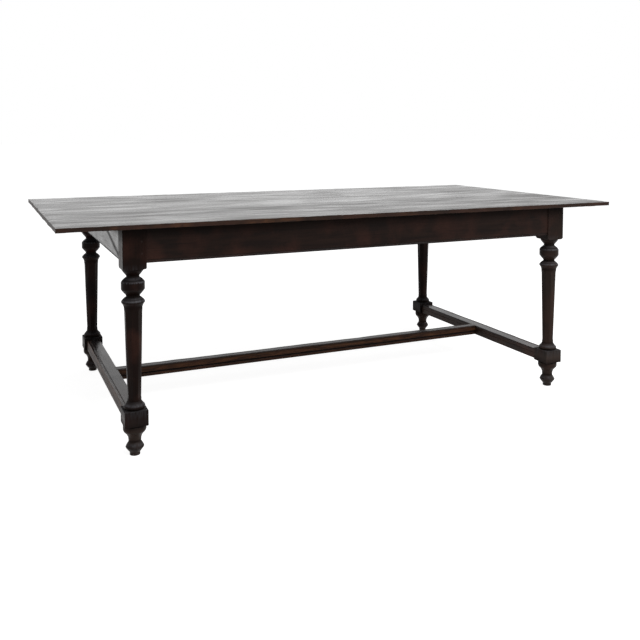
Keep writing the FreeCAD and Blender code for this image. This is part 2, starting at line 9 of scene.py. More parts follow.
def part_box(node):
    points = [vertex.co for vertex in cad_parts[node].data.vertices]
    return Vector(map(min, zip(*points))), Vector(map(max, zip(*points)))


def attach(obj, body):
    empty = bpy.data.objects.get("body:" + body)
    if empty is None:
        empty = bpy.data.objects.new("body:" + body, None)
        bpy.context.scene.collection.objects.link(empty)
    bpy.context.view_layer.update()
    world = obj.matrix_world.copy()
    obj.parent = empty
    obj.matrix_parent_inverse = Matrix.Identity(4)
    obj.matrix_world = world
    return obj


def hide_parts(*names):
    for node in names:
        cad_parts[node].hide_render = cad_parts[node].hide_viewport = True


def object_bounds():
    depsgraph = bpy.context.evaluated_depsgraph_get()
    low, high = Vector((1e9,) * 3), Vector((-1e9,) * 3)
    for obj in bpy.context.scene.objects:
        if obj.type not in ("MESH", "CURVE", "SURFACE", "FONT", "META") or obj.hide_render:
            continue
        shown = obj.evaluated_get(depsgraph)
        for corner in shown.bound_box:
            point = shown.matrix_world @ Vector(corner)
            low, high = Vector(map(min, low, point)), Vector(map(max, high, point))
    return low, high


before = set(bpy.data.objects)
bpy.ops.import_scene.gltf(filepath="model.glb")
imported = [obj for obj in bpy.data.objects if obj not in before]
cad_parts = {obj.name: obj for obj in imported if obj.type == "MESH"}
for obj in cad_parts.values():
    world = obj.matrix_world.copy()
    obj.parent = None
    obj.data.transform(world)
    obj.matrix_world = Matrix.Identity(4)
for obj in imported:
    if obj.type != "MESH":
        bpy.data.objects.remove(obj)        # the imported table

bl_info = {
    "name": "Farmhouse Table",
    "version": (1, 0, 0),
    "blender": (4, 5, 0),
    "location": "View3D > Sidebar > Farmhouse Table",
    "description": "Builds the worn, dark oak of a long table with turned legs",
    "category": "Add Mesh",
}

CAD_BOX = [list(corner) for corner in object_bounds()]
MM = 0.001
BOARDS = [f"top_board_{number}" for number in range(1, 6)]
LEGS = ["leg_front_left", "leg_front_right", "leg_back_left", "leg_back_right"]
SIDES = (-1, 1)
# Points this close together become one, and places this close are on the same line
MERGED = 0.01 * MM
SAME = 0.05 * MM
# How far the rails' ends run on inside the legs and the end stretchers
INTO_LEG = 4 * MM
INTO_STRETCHER = 3 * MM

# How far in from the edges of the top its knocks and its bare wood reach
KNOCKED = 2.8 * MM
# Half of the length and half of the width of the top's worn middle, in m
WORN_HALF = (1.05, 0.54)
# How much paler or darker each board's grain is
BOARD_TONES = (0.0, -0.03, 0.035, -0.02, 0.02)
# Patches of painted sheen, paler and smoother on the top, darker and rougher where below nought:
# how much, its middle and its spread in m
SHEEN_PATCHES = ((0.07, (0.05, 0.25), (0.5, 0.3)), (-0.05, (0.7, -0.45), (0.4, 0.3)))
# The left end was sawn askew: how short it is at the front, and where that starts and is full, in m
END_SLANT = 7 * MM
SLANT_START, SLANT_FULL = -0.89, -1.09
# Places along the front edge of the top, in mm, where raw wood shows: middle, half length, how much
RAW_PLACES = (
    (-912, 14, 0.4), (-775, 30, 0.25), (-700, 45, 0.5), (-430, 50, 0.65), (-330, 45, 0.5),
    (140, 45, 0.3), (620, 30, 0.35),
)

# The leg's outline from the floor up, in mm: radius, level, and how far the line to the next point
# bulges outwards
LEG_OUTLINE = (
    (0, 0, 0),
    # Foot: tip, ring, waisted neck and cup with its tall rim
    (15.4, 0, 0.5), (17, 1.8, -0.3), (17.4, 11, 0.6), (29.6, 26.6, 0.3), (29.6, 28.6, 0.6),
    (20.6, 44, 0), (20.2, 45.5, -0.2), (21.4, 58, -1.3), (30.5, 74, 0.9), (37, 83.5, 0.2),
    (37.4, 86, 0), (37.2, 97.6, 0.4), (36, 98.5, 0), (32, 99.8, 0), (31.6, 101.5, 0),
    # Lower block, then the ring above it
    (52.4, 101.5, 0.4), (54.2, 103.6, 0), (54.2, 148.9, 0.4), (52.4, 151, 0), (31.6, 151, 0),
    (31.2, 153.4, 0), (31.8, 154, 0.9), (34.4, 158, 1), (31.6, 166, 0), (31.2, 166.4, -0.4),
    (22.4, 177.5, 0),
    # Shaft and collar
    (29.4, 482.5, -1.2), (37, 497.6, 0), (37.5, 499, 0), (37.5, 502.6, 1.2), (22.4, 516.6, 0),
    (22.1, 518.5, 0),
    # Ball, then the upper neck and the cone
    (22.1, 522, 0.5), (37.3, 540.2, 0), (37.8, 541.6, 0), (37.8, 545, 0), (37.8, 561, 0),
    (37.8, 563.6, 0), (37.2, 565.4, 1), (21.4, 580, 0), (20.9, 581.5, 0), (20.9, 585.5, 0.4),
    (34.4, 602.5, 0), (34.6, 607.5, 0),
    # Square post
    (48.3, 607.5, 0), (54.2, 613.5, 0), (54.2, 738.5, 0), (0, 738.5, 0),
)
# Cuts across the post, in mm, that let its painted shade fade out below the top
POST_CUTS = (126, 626, 690, 710, 722, 732)
# The octagonal shaft: levels, and half of the distance across the flats, in mm
FLATS = 8
SHAFT_FLATS = ((-10, 80), (179, 80), (179, 23.5), (191, 20.5), (468.5, 27.1), (480.5, 30.1),
               (480.5, 80), (760, 80))
# Where the turned edges are rubbed, and painted highlights on their arrises: level and spread in mm, and
# how much
WORN_AND_HIGHLIT_LEVELS = (
    (7, 7, 0.3), (28, 2, 0.4), (36, 4, 0.9), (93, 3, 0.6), (103, 2, 0.3), (126, 12, 0.15),
    (150, 2, 0.9), (167, 3.5, 1), (505, 2.6, 2), (512, 3, 0.7), (541, 3, 0.2), (565, 2, 2.4),
    (577, 3.5, 0.7), (611, 5, 0.3),
)
# Where the stain has faded brown low on every leg; on the one at the front right more of it, with
# painted light up its shaft
FADED_LEVELS = ((6, 12, 0.35), (66, 34, 0.35))
FADED_AND_LIT = ((6, 12, 0.4), (50, 45, 0.3), (126, 60, 0.35), (330, 420, 0.22))
# Painted shade, with some wax and dirt, between the turned parts and on the post under the top: level
# and spread in mm, and how much
SHADE_AND_GRIME_LEVELS = (
    (48, 4, 0.7), (100, 2.5, 1), (155, 4, 1), (178, 6, 0.5), (484, 6, 0.6), (509, 1.6, 0.5),
    (519, 5, 0.9), (571, 2.5, 0.7), (584, 4, 0.8), (742, 34, 0.85),
)

# An apron's section in mm, from its outer face inwards and up from its lower edge, with bulges
APRON_OUTLINE = (
    (4, 0, 1.2), (0, 4, 1.1), (2.7, 8, 0), (2.7, 10.2, 0), (0.5, 10.6, 0.1), (0, 11.2, 0),
    (0, 76, 0), (0, 96, 0), (0, 111.6, 0), (26, 111.6, 0), (26, 100, 0), (16, 100, 0), (16, 92, 0),
    (26, 92, 0), (26, 1, 0.2), (25, 0, 0),
)
# Painted shade darkens the rails this far below the top, and a little painted grey sheen lies on the
# bead from this far down
SHADE_DEPTH = 36 * MM
BEAD_DROP = 102 * MM
# The dark slanting streak on the left apron: its level at the middle of the table, its rise towards
# the back and its half width, in mm
STREAK_LEVEL, STREAK_RISE, STREAK_WIDTH = 748, 0.24, 13

# Half of the long stretcher's section in mm, from its middle and up from its underside, with bulges
LONG_STRETCHER_HEIGHT = 40
LONG_STRETCHER_HALF = (
    (0, 0, 0), (20, 0, 0.2), (21, 1, 0), (21, 6, 0), (21, 11.6, 0.2), (20.4, 12.4, 0),
    (18.8, 13, -0.4), (18.8, 16.6, 0), (20.4, 17.2, 0.2), (21, 18, 0), (21, 22, 0), (21, 26, 0),
    (21, 30, 0), (21, 34, 0), (21, 38, 0.3), (19.6, 40, 0.1), (16.6, 40, 0), (15.8, 38.4, -0.2),
    (13.4, 38.4, 0), (12.6, 40, 0), (0, 40, 0),
)
# An end stretcher's section in mm, from its middle outwards and up from its underside, with bulges
END_STRETCHER_HEIGHT = 41
END_STRETCHER = (
    (-26, 0, 0), (26, 0, 0.2), (27, 1, 0), (27, 15.6, 0.2), (26.4, 16.2, -0.2), (26.4, 18.4, 0),
    (27, 19, 0), (27, 39.6, 0.3), (25.8, 41, 0.1), (18.6, 41, 0), (17.8, 39, -0.2), (15.6, 39, 0),
    (14.8, 41, 0), (-22.5, 41, 1), (-27, 36.5, 0.2), (-27, 24.4, 0.1), (-25.6, 24, -0.2),
    (-25.6, 22.4, 0), (-27, 22, 0), (-27, 1, 0.2), (-26, 0, 0),
)

# Where a peg stands in from a leg's inner corner, and how far its head stands out
PEG_INSET = 16 * MM
PEG_PROUD = 0.6 * MM
PEG_SIDES = 8
# Where the screws stand: from the buttons' inner ends, and from the ends of a row of buttons
SCREW_INSET = 19 * MM
SCREW_MARGIN = 15 * MM
SCREWS_IN_BEARER = 4


def linear(code):
    """An sRGB hex colour turned to linear."""
    shares = [int(code[start:start + 2], 16) / 255 for start in (0, 2, 4)]
    return tuple(share / 12.92 if share <= 0.04045 else ((share + 0.055) / 1.055) ** 2.4
                 for share in shares)


class FARMTABLE_PG_sizes(bpy.types.PropertyGroup):
    """Sizes of the worn edges and the small parts."""

    edge_round: FloatProperty(name="Edge rounding", description="Radius worn on the top's outer edges",
                              default=2.6 * MM, min=0.2 * MM, max=6 * MM, unit="LENGTH")
    seam_round: FloatProperty(name="Seam rounding", description="Radius along the boards' seams",
                              default=0.9 * MM, min=0.2 * MM, max=3 * MM, unit="LENGTH")
    arris_round: FloatProperty(name="Arris rounding", description="Radius worn on the posts' edges",
                               default=1.3 * MM, min=0.2 * MM, max=4 * MM, unit="LENGTH")
    chip_depth: FloatProperty(name="Chip depth", description="Depth of the dents in the top's edges",
                              default=3.4 * MM, min=0, max=10 * MM, unit="LENGTH")
    top_wear: FloatProperty(name="Top wear", description="How much lower the middle of the top is worn",
                            default=4.5 * MM, min=0, max=10 * MM, unit="LENGTH")
    rail_wear: FloatProperty(name="Stretcher wear", description="How deep feet have worn the stretchers",
                             default=2.4 * MM, min=0, max=10 * MM, unit="LENGTH")
    peg_radius: FloatProperty(name="Peg radius", description="Radius of the wooden pegs",
                              default=4 * MM, min=1 * MM, max=10 * MM, unit="LENGTH")
    screw_radius: FloatProperty(name="Screw head radius", description="Radius of the screw heads",
                                default=4.6 * MM, min=1 * MM, max=10 * MM, unit="LENGTH")
    turning_steps: IntProperty(name="Turning steps", description="Steps round each turned part",
                               default=64, min=16, max=160)


# What all colours that a user can change have in common
COLOUR = {"size": 3, "min": 0, "max": 1, "subtype": "COLOR"}


class FARMTABLE_PG_colours(bpy.types.PropertyGroup):
    """Colours of the wood and its wear."""

    stain_deep: FloatVectorProperty(name="Deep stain", description="Where the stain lies thickest",
                                    default=linear("150C09"), **COLOUR)
    stain: FloatVectorProperty(name="Stain", description="The usual colour of the stained oak",
                               default=linear("251813"), **COLOUR)
    leg_stain: FloatVectorProperty(name="Stain on the legs", description="The legs' darker stain",
                                   default=linear("1A0F0C"), **COLOUR)
    # A painted grey sheen on faces that turn up, painted highlights on the legs' arrises and the aprons'
    # bead, and the grey of worn edges
    sheen_and_wear: FloatVectorProperty(name="Patina", description="Grey wax on slopes and worn turnings",
                                default=linear("4A494C"), **COLOUR)
    stain_red: FloatVectorProperty(name="Thin stain", description="Where red-brown shows through",
                                   default=linear("35201A"), **COLOUR)
    # On the leg at the front right this brown is also painted light
    faded: FloatVectorProperty(name="Faded stain", description="Brown where the legs' stain has faded",
                               default=linear("564A43"), **COLOUR)
    rubbed: FloatVectorProperty(name="Rubbed edge", description="Oak where the stain is rubbed away",
                                default=linear("6C4830"), **COLOUR)
    top_dark: FloatVectorProperty(name="Top, dark grain", description="Dark grain of the top boards",
                                  default=linear("1A1716"), **COLOUR)
    top_pale: FloatVectorProperty(name="Top, pale grain", description="Pale, scoured grain of the top",
                                  default=linear("5C5A59"), **COLOUR)
    # Also the painted shade in the legs' hollows, under the top and in the stretcher's grooves, and the
    # dark grain lines
    grime_and_shade: FloatVectorProperty(name="Grime", description="Wax and dirt in grooves and seams",
                               default=linear("0E0A08"), **COLOUR)
    bare_oak: FloatVectorProperty(name="Bare oak", description="Unstained old oak under the top",
                                  default=linear("8A6642"), **COLOUR)
    iron: FloatVectorProperty(name="Iron", description="The screws' dark iron",
                              default=linear("3B3734"), **COLOUR)
    floor: FloatVectorProperty(name="Floor", description="The pale floor",
                               default=linear("C8C8C8"), **COLOUR)


class FARMTABLE_PG_stage(bpy.types.PropertyGroup):
    """The camera and the light."""

    camera_place: FloatVectorProperty(name="Camera place", description="Where the camera stands",
                                      default=(-1.2984, -2.9755, 1.0449), size=3,
                                      subtype="TRANSLATION")
    camera_turn: FloatProperty(name="Camera turn", description="How far it looks to the right",
                               default=math.radians(24.1), subtype="ANGLE")
    camera_tilt: FloatProperty(name="Camera tilt", description="How far it looks down",
                               default=math.radians(3.05), subtype="ANGLE")
    camera_lens: FloatProperty(name="Lens", description="Focal length in millimetres",
                               default=43.54, min=1)
    camera_shift: FloatProperty(name="Lens shift", description="How far the view is shifted down",
                                default=-0.2303)
    room_light: FloatProperty(name="Room light", description="Strength of the light from all sides",
                              default=0.25, min=0)
    window_power: FloatProperty(name="Window power", description="Watts of the lamp at the right",
                                default=30, min=0)
    softbox_power: FloatProperty(name="Softbox power",
                                 description="Watts of the lamp above the camera",
                                 default=172, min=0)


# Modelling

def deselect():
    """Leave edit mode with nothing selected."""
    if bpy.context.mode != "OBJECT":
        bpy.ops.object.mode_set(mode="OBJECT")
    bpy.ops.object.select_all(action="DESELECT")


def edit(piece):
    """Go into edit mode on a piece, with all of it selected."""
    deselect()
    bpy.context.view_layer.objects.active = piece
    bpy.ops.object.mode_set(mode="EDIT")
    bpy.ops.mesh.select_all(action="SELECT")


def pick_edges(piece, passes):
    """In edit mode, select the edges of which both ends pass a test of their place."""
    bpy.ops.mesh.select_mode(type="EDGE")
    bpy.ops.mesh.select_all(action="DESELECT")
    shape = bmesh.from_edit_mesh(piece.data)
    for line in shape.edges:
        if all(passes(piece.matrix_world @ end.co) for end in line.verts):
            line.select_set(True)
    bmesh.update_edit_mesh(piece.data)


def face_outwards():
    """In edit mode, turn all faces outwards."""
    bpy.ops.mesh.select_all(action="SELECT")
    bpy.ops.mesh.normals_make_consistent(inside=False)


def line_through(rows, step=1.6):
    """Points in mm along rows of two places and a bulge, which is how far the line to the next row
    bows out. A bowed line has 3 to 14 pieces, each about one step long."""
    points = []
    for (x0, y0, bulge), (x1, y1, _) in zip(rows, rows[1:]):
        chord = math.hypot(x1 - x0, y1 - y0)
        pieces = max(3, min(14, round(chord / step))) if bulge else 1
        for number in range(pieces):
            share = number / pieces
            out = bulge * 4 * share * (1 - share)
            points.append((x0 + (x1 - x0) * share + (y1 - y0) / chord * out,
                           y0 + (y1 - y0) * share - (x1 - x0) / chord * out))
    return points + [rows[-1][:2]]


def draw_outline(name, points):
    """Draw a line from point to point with a pencil's one vertex, and leave it in edit mode."""
    deselect()
    bpy.ops.mesh.primitive_plane_add(size=1 * MM, location=points[0])
    piece = bpy.context.object
    piece.name = name
    edit(piece)
    bpy.ops.mesh.select_mode(type="VERT")
    bpy.ops.mesh.merge(type="CENTER")
    for start, end in zip(points, points[1:]):
        step = Vector(end) - Vector(start)
        bpy.ops.mesh.extrude_vertices_move(TRANSFORM_OT_translate={"value": step})
    bpy.ops.mesh.select_all(action="SELECT")
    return piece


def set_in_place(piece):
    """Put a piece's place, turn and scale into its mesh."""
    deselect()
    piece.select_set(True)
    bpy.context.view_layer.objects.active = piece
    bpy.ops.object.transform_apply(location=True, rotation=True, scale=True)
    return piece


def turned(name, rows, steps):
    """Turn an outline of radii and levels about the upright axis."""
    points = [(x * MM, 0, z * MM) for x, z in line_through(rows)]
    piece = draw_outline(name, points)
    bpy.ops.mesh.spin(steps=steps, angle=math.tau, center=(0, 0, 0), axis=(0, 0, 1))
    bpy.ops.mesh.select_all(action="SELECT")
    bpy.ops.mesh.remove_doubles(threshold=MERGED)
    face_outwards()
    return set_in_place(piece)


def rail(name, along, start, section, steps=1):
    """Fill a section of places across and up, and draw it out along X or Y from its start to as far on
    the other side of the middle, in steps."""
    if along == "X":
        points = [(start, across, up) for across, up in section]
        way = Vector((-2 * start, 0, 0))
    else:
        points = [(across, start, up) for across, up in section]
        way = Vector((0, -2 * start, 0))
    piece = draw_outline(name, points)
    bpy.ops.mesh.edge_face_add()
    for _ in range(steps):
        bpy.ops.mesh.extrude_region_move(TRANSFORM_OT_translate={"value": way / steps})
    face_outwards()
    return set_in_place(piece)


def box_tool(place, size):
    """A plain box to cut with."""
    deselect()
    bpy.ops.mesh.primitive_cube_add(size=1, location=place)
    tool = bpy.context.object
    tool.scale = size
    return set_in_place(tool)


def apply_modifier(piece, kind, **settings):
    """Put a modifier on a piece and apply it."""
    modifier = piece.modifiers.new(kind.title(), kind)
    for setting, value in settings.items():
        setattr(modifier, setting, value)
    deselect()
    bpy.context.view_layer.objects.active = piece
    bpy.ops.object.modifier_apply(modifier=modifier.name)


def cut_to(piece, tool, operation="INTERSECT"):
    """Cut a piece with a tool, which is then thrown away."""
    apply_modifier(piece, "BOOLEAN", operation=operation, object=tool, solver="EXACT")
    bpy.data.objects.remove(tool)


def soft_clouds(name, size):
    """An uneven pattern for dents, with humps of about one size."""
    clouds = bpy.data.textures.new(name, "CLOUDS")
    clouds.noise_scale = size
    clouds.noise_depth = 2
    return clouds


def dent(piece, clouds, depth, near, middle=1.0):
    """Press uneven dents into the points whose places pass a test."""
    group = piece.vertex_groups.new(name="Dented")
    group.add([point.index for point in piece.data.vertices if near(point.co)], 1, "REPLACE")
    apply_modifier(piece, "DISPLACE", texture=clouds, strength=depth, mid_level=middle,
                   vertex_group="Dented", texture_coords="LOCAL")
    piece.vertex_groups.clear()


def paint(piece, name, amount):
    """Store a value on every point, worked out from its place, for the materials to read."""
    values = piece.data.attributes.new(name, "FLOAT", "POINT")
    values.data.foreach_set("value", [amount(point.co) for point in piece.data.vertices])


def levels(rows):
    """A measure that is high near each of the levels given in mm."""
    def amount(place):
        return max(share * math.exp(-((place.z / MM - level) / spread) ** 2)
                   for level, spread, share in rows)
    return amount


def copy_to(piece, name, matrix):
    """A copy of a piece with its own mesh, moved by a matrix."""
    copy = piece.copy()
    copy.data = piece.data.copy()
    copy.data.transform(matrix)
    copy.name = name
    bpy.context.collection.objects.link(copy)
    return copy


def joined_copies(model, places, name):
    """One object of many copies of a model."""
    copies = [copy_to(model, "copy", place) for place in places]
    deselect()
    for copy in copies:
        copy.select_set(True)
    bpy.context.view_layer.objects.active = copies[0]
    bpy.ops.object.join()
    copies[0].name = name
    return copies[0]


def finish_piece(piece, material, slot, *nodes, crease=32):
    """Smooth a piece, give it its material and let it stand for its nodes of the frame."""
    set_in_place(piece)
    bpy.ops.object.shade_smooth_by_angle(angle=math.radians(crease))
    apply_modifier(piece, "WEIGHTED_NORMAL", keep_sharp=True)
    piece.data.name = piece.name
    piece.data.materials.clear()
    piece.data.materials.append(material)
    if nodes:
        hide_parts(*nodes)
    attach(piece, "root")
    return piece


# Materials

def set_inputs(tree, node, inputs):
    """Set a node's inputs, by name or in their order. A node or a socket among them is linked."""
    for name, value in inputs.items() if isinstance(inputs, dict) else enumerate(inputs):
        socket = node.inputs[name]
        if isinstance(value, bpy.types.Node):
            value = value.outputs[0]
        if isinstance(value, bpy.types.NodeSocket):
            tree.links.new(value, socket)
        else:
            socket.default_value = (*value, 1) if socket.type == "RGBA" else value


def add_node(tree, kind, inputs=(), **settings):
    """Add a shader node with its settings, and set or link its inputs. A MapRange node's are, in
    order, the value, the range that it comes from and the range that it goes to."""
    node = tree.nodes.new("ShaderNode" + kind)
    for name, value in settings.items():
        setattr(node, name, value)
    set_inputs(tree, node, inputs)
    return node


def new_material(name):
    """A material with its node tree."""
    material = bpy.data.materials.new(name)
    material.use_nodes = True
    return material, material.node_tree


def grain(tree, place, along, across_mm, along_mm, **noise):
    """An uneven pattern drawn out along the grain, with marks about as large as is given."""
    scale = [1 / ((along_mm if axis == along else across_mm) * MM) for axis in "XYZ"]
    stretched = add_node(tree, "Mapping", {"Vector": place, "Scale": scale})
    return add_node(tree, "TexNoise", {"Vector": stretched, "Scale": 1, **noise})


def layered(tree, body, layers):
    """Lay colours over a first one, each where its share is high."""
    for share, over in layers:
        # Numbers 6 and 7 are for colours: other inputs of the node bear the same names
        mix = add_node(tree, "Mix", {0: share, 6: body, 7: over}, data_type="RGBA")
        body = mix.outputs[2]
    return body


def oak_base(name, along):
    """The start of every oak: its grain patterns, its worn edges, and its painted wear and dirt, with
    painted shade and painted highlights among them.
    """
    material, tree = new_material(name)
    place = add_node(tree, "TexCoord").outputs["Object"]
    parts = {"place": place}
    for part in ("board", "rubbed", "shade_and_grime", "faded", "tone"):
        parts[part] = add_node(tree, "Attribute", attribute_name=part).outputs["Fac"]
    # Boards side by side are from other parts of the log, so each reads the patterns 4 m further on
    further = add_node(tree, "VectorMath", {0: (4, 0, 0), "Scale": parts["board"]}, operation="SCALE")
    pattern = add_node(tree, "VectorMath", (place, further))
    parts["pattern"] = pattern
    # Growth rings cut lengthwise, about 28 mm apart; early wood 3 mm apart; open pores 1 mm wide; and
    # wear that breaks up along the grain
    for part, across_mm, along_mm, detail, twist in (
            ("figure", 28, 330, 5, 0.9), ("streaks", 3.2, 150, 4, 0.3), ("pores", 1.1, 16, 2, 0),
            ("breaks", 7, 60, 5, 0.4)):
        parts[part] = grain(tree, pattern, along, across_mm, along_mm, Detail=detail,
                            Roughness=0.6, Distortion=twist)
    # Stain taken up unevenly over a hand's breadth
    parts["blotches"] = add_node(tree, "TexNoise", {"Vector": pattern, "Scale": 1 / (90 * MM),
                                                    "Detail": 3})
    softened = add_node(tree, "Bevel", {"Radius": 2.5 * MM}, samples=4)
    parts["normal"] = add_node(tree, "NewGeometry").outputs["Normal"]
    same = add_node(tree, "VectorMath", (softened, parts["normal"]), operation="DOT_PRODUCT")
    parts["edges"] = add_node(tree, "MapRange", (same.outputs["Value"], 0.99, 0.84))
    return material, tree, parts


def stained_oak(name, along, colours, stain, worn, rubbing=1.0, up_sheen=0.0, shine=0.1, sides=0.5,
                tops=0.5, mottling=0.0):
    """Oak planed or turned, stained almost black and waxed: dull, with red-brown where the stain is
    thin, another colour where hands and feet have worn the edges and where painted highlights lie, a
    painted grey sheen on the slopes that face up, and black dirt and painted shade in the grooves."""
    material, tree, part = oak_base(name, along)
    rings = add_node(tree, "MapRange", (part["figure"], 0.36, 0.66))
    thin = add_node(tree, "MapRange", (part["blotches"], 0.45, 0.7, 0, 0.8))
    dark_lines = add_node(tree, "MapRange", (part["streaks"], 0.56, 0.7, 0, 0.6))
    # Wear, with painted highlights among it: on sharp edges and where painted, broken up so that it
    # looks rubbed and not drawn
    wear = add_node(tree, "Math", (part["edges"], 0.3, part["rubbed"]), operation="MULTIPLY_ADD")
    broken = add_node(tree, "MapRange", (part["breaks"], 0.38, 0.66, 0.05))
    wear = add_node(tree, "Math", (wear, broken), operation="MULTIPLY")
    wear = add_node(tree, "Math", (wear, rubbing), operation="MULTIPLY", use_clamp=True)
    up = add_node(tree, "SeparateXYZ", (part["normal"],)).outputs["Z"]
    # A painted grey sheen on the faces that turn up towards the light
    waxed = add_node(tree, "MapRange", (up, 0.25, 0.75, 0, up_sheen))
    body = layered(tree, colours.stain_deep, (
        (rings, stain), (thin, colours.stain_red), (dark_lines, colours.grime_and_shade),
        (part["faded"], colours.faded), (wear, worn), (waxed, colours.sheen_and_wear),
        (part["shade_and_grime"], colours.grime_and_shade)))
    # Smooth where it is waxed, and on the upper faces often rubbed smoother by feet or hands
    half = mottling / 2
    rough = add_node(tree, "MapRange", (up, 0.6, 0.95, sides - half, tops - half))
    rough = add_node(tree, "Math", (part["blotches"], mottling, rough), operation="MULTIPLY_ADD")
    streaky = add_node(tree, "MapRange", (part["streaks"], 0.3, 0.7, -0.07, 0.07))
    rough = add_node(tree, "Math", (streaky, rough), operation="ADD")
    # Rougher where dirt and painted shade lie
    rough = add_node(tree, "Math", (part["shade_and_grime"], 0.4, rough), operation="MULTIPLY_ADD")
    relief = add_node(tree, "Math", (part["pores"], 0.5, part["streaks"]), operation="MULTIPLY_ADD")
    bump = add_node(tree, "Bump", {"Height": relief, "Strength": 0.35, "Distance": 0.5 * MM})
    set_inputs(tree, tree.nodes["Principled BSDF"], {
        "Base Color": body, "Roughness": rough, "IOR": 1.5, "Specular IOR Level": shine,
        "Normal": bump})
    return material


def scoured_top_oak(name, colours, seams):
    """Old stained oak planks, scoured and waxed for years: a grey satin sheen in uneven swathes, long
    streaks of dark grain and black seams."""
    material, tree, part = oak_base(name, "X")
    pale = add_node(tree, "Math", (part["streaks"], 0.45, part["figure"]), operation="MULTIPLY_ADD")
    # Each board's own tone and the painted sheen patches make the grain paler or darker
    pale = add_node(tree, "Math", (pale, part["tone"]), operation="ADD")
    pale = add_node(tree, "MapRange", (pale, 0.5, 0.95))
    # Swathes 75 mm wide that cloths and hands have rubbed brighter, dips 26 mm wide from the plane,
    # and dark marks 13 mm wide along the grain
    swathes = grain(tree, part["pattern"], "X", 75, 260, Detail=2)
    dips = grain(tree, part["pattern"], "X", 26, 130, Detail=2)
    marks = grain(tree, part["pattern"], "X", 13, 340, Detail=3)
    marks = add_node(tree, "MapRange", (marks, 0.585, 0.66))
    marked = add_node(tree, "Math", (marks, 0.7), operation="MULTIPLY")
    # How far away the nearest seam is, 1 m at most, and the dirt that fills about 3 mm along it
    across = add_node(tree, "SeparateXYZ", (part["place"],)).outputs["Y"]
    nearest = 1
    for seam in seams:
        away = add_node(tree, "Math", (across, seam), operation="SUBTRACT")
        away = add_node(tree, "Math", (away,), operation="ABSOLUTE")
        nearest = add_node(tree, "Math", (away, nearest), operation="MINIMUM")
    dirt = add_node(tree, "MapRange", (nearest, 3.5 * MM, 1 * MM))
    body = layered(tree, colours.top_dark, (
        (pale, colours.top_pale), (marked, colours.grime_and_shade), (dirt, colours.grime_and_shade)))
    rough = add_node(tree, "Math", (part["streaks"], 0.6, swathes), operation="MULTIPLY_ADD")
    rough = add_node(tree, "MapRange", (rough, 0.6, 1, 0.16, 0.38))
    rough = add_node(tree, "Math", (rough, part["tone"]), operation="SUBTRACT")
    rough = add_node(tree, "Math", (marks, 0.2, rough), operation="MULTIPLY_ADD")
    waves = add_node(tree, "Bump", {"Height": dips, "Strength": 0.5, "Distance": 1.2 * MM})
    relief = add_node(tree, "Math", (part["pores"], 0.4, part["streaks"]), operation="MULTIPLY_ADD")
    bump = add_node(tree, "Bump", {"Height": relief, "Strength": 0.4, "Distance": 0.5 * MM,
                                   "Normal": waves})
    set_inputs(tree, tree.nodes["Principled BSDF"], {
        "Base Color": body, "Roughness": rough, "IOR": 1.5, "Specular IOR Level": 0.5,
        "Normal": bump})
    return material


def bare_oak(name, along, colours):
    """Sawn oak that never was stained, gone brown under the top: dry and dull, with clear streaks."""
    material, tree, part = oak_base(name, along)
    clear = add_node(tree, "MapRange", (part["streaks"], 0.35, 0.65, 0.1, 0.7))
    body = layered(tree, colours.bare_oak, (
        (clear, colours.stain_red), (part["edges"], colours.stain_red)))
    bump = add_node(tree, "Bump", {"Height": part["streaks"], "Strength": 0.4, "Distance": 0.5 * MM})
    set_inputs(tree, tree.nodes["Principled BSDF"], {
        "Base Color": body, "Roughness": 0.72, "Specular IOR Level": 0.3, "Normal": bump})
    return material


def old_iron(name, colours):
    """Blackened iron screws, cast and cut, with a little brown rust in patches 3 mm wide."""
    material, tree = new_material(name)
    place = add_node(tree, "TexCoord").outputs["Object"]
    rust = add_node(tree, "TexNoise", {"Vector": place, "Scale": 1 / (3 * MM), "Detail": 3})
    patches = add_node(tree, "MapRange", (rust, 0.5, 0.65))
    rough = add_node(tree, "MapRange", (rust, 0, 1, 0.35, 0.75))
    set_inputs(tree, tree.nodes["Principled BSDF"], {
        "Base Color": layered(tree, colours.iron, ((patches, colours.stain_red),)),
        "Metallic": 1, "Roughness": rough})
    return material


# Pieces

class TablePiece:
    """What every operator of the table has."""

    bl_options = {"REGISTER", "UNDO"}

    @property
    def sizes(self):
        return bpy.context.scene.farmtable_sizes

    @property
    def colours(self):
        return bpy.context.scene.farmtable_colours


